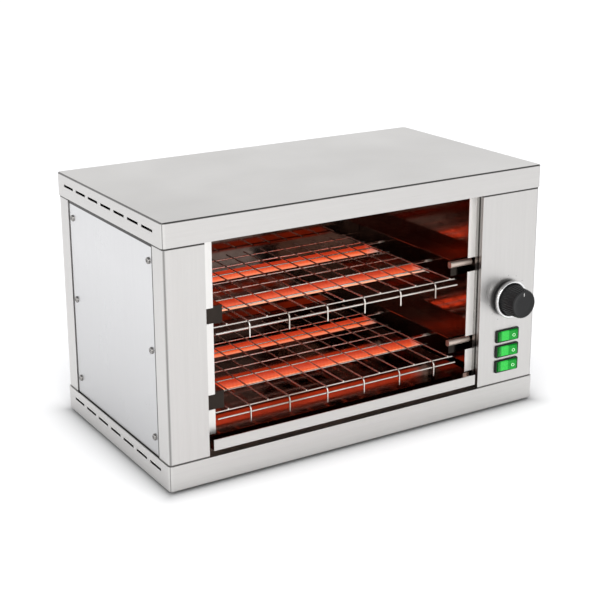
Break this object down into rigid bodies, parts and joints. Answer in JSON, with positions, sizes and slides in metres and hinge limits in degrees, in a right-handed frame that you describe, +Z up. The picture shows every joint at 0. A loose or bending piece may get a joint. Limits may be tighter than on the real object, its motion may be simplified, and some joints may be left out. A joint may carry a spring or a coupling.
{
  "type": "commercial toaster",
  "caption": "Free-standing catering toaster with wire racks on rails, glowing quartz tubes, a crumb tray, a timer knob and rocker switches.",
  "frame": {"origin": "centre of the footprint's box, on the surface that the toaster stands on", "axes": "+Z up, +X to the right seen from the front, the open front faces -Y"},
  "size_m": [0.45, 0.297, 0.27],
  "materials": {
    "housing_steel": "fine satin grain",
    "cavity_steel": "mirror-polished, slightly smoked",
    "rail_steel": "bright rolled",
    "tray_steel": "satin",
    "screw_steel": "bright",
    "foot_rubber": "matt",
    "tube_ceramic": "unglazed",
    "quartz": "clear quartz",
    "glowing_coil": "glowing wire",
    "rack_chrome": "plated wire",
    "knob_plastic": "fine moulded grain",
    "ring_chrome": "polished",
    "switch_plastic": "moulded",
    "rocker_green": "clear coloured",
    "timer_plastic": "moulded",
    "gland_plastic": "moulded",
    "terminal_plastic": "moulded"
  },
  "bodies": {
    "housing": {"top_cover": "housing_steel", "base_tray": "housing_steel", "rubber_feet": "foot_rubber", "left_front_post": "housing_steel", "control_panel": "housing_steel", "back_panel": "housing_steel", "left_side_panel": "housing_steel", "right_side_panel": "housing_steel", "left_side_screws": "screw_steel", "right_side_screws": "screw_steel", "back_screws": "screw_steel", "left_liner": "cavity_steel", "right_liner": "cavity_steel", "cavity_back_wall": "cavity_steel", "cavity_ceiling": "cavity_steel", "floor_shield": "rail_steel", "lower_left_rail": "rail_steel", "lower_right_rail": "rail_steel", "upper_left_rail": "rail_steel", "upper_right_rail": "rail_steel", "left_tube_ends": "tube_ceramic", "right_tube_ends": "tube_ceramic", "timer_body": "timer_plastic", "timer_nut": "screw_steel", "switch_housing_lower": "switch_plastic", "switch_housing_middle": "switch_plastic", "switch_housing_upper": "switch_plastic", "cable_gland": "gland_plastic", "gland_lock_nut": "gland_plastic", "terminal_block": "terminal_plastic", "quartz_tube_lower_front": "quartz", "quartz_tube_lower_rear": "quartz", "quartz_tube_middle_front": "quartz", "quartz_tube_middle_rear": "quartz", "quartz_tube_top_front": "quartz", "quartz_tube_top_rear": "quartz", "heating_coil_lower_front": "glowing_coil", "heating_coil_lower_rear": "glowing_coil", "heating_coil_middle_front": "glowing_coil", "heating_coil_middle_rear": "glowing_coil", "heating_coil_top_front": "glowing_coil", "heating_coil_top_rear": "glowing_coil"},
    "lower_rack": {"lower_rack_grid": "rack_chrome", "lower_rack_guard": "rack_chrome"},
    "upper_rack": {"upper_rack_grid": "rack_chrome", "upper_rack_guard": "rack_chrome"},
    "crumb_tray": {"crumb_tray": "tray_steel"},
    "timer_dial": {"timer_knob": "knob_plastic", "knob_ring": "ring_chrome", "timer_shaft": "screw_steel"},
    "rocker_lower": {"rocker_lower": "rocker_green"},
    "rocker_middle": {"rocker_middle": "rocker_green"},
    "rocker_upper": {"rocker_upper": "rocker_green"}
  },
  "joints": [
    {"name": "lower_rack_slide", "type": "slide", "parent": "housing", "child": "lower_rack", "axis": [0, -1, 0], "range_m": [0, 0.18]},
    {"name": "upper_rack_slide", "type": "slide", "parent": "housing", "child": "upper_rack", "axis": [0, -1, 0], "range_m": [0, 0.18]},
    {"name": "crumb_tray_slide", "type": "slide", "parent": "housing", "child": "crumb_tray", "axis": [0, -1, 0], "range_m": [0, 0.2]},
    {"name": "timer_turn", "type": "hinge", "parent": "housing", "child": "timer_dial", "pos_m": [0.1856, -0.1215, 0.1267], "axis": [0, 1, 0], "range_deg": [-150, 150]},
    {"name": "rocker_lower_tilt", "type": "hinge", "parent": "housing", "child": "rocker_lower", "pos_m": [0.1864, -0.1175, 0.0495], "axis": [0, 0, 1], "range_deg": [0, 14]},
    {"name": "rocker_middle_tilt", "type": "hinge", "parent": "housing", "child": "rocker_middle", "pos_m": [0.1864, -0.1175, 0.0669], "axis": [0, 0, 1], "range_deg": [0, 14]},
    {"name": "rocker_upper_tilt", "type": "hinge", "parent": "housing", "child": "rocker_upper", "pos_m": [0.1864, -0.1175, 0.0843], "axis": [0, 0, 1], "range_deg": [0, 14]}
  ]
}
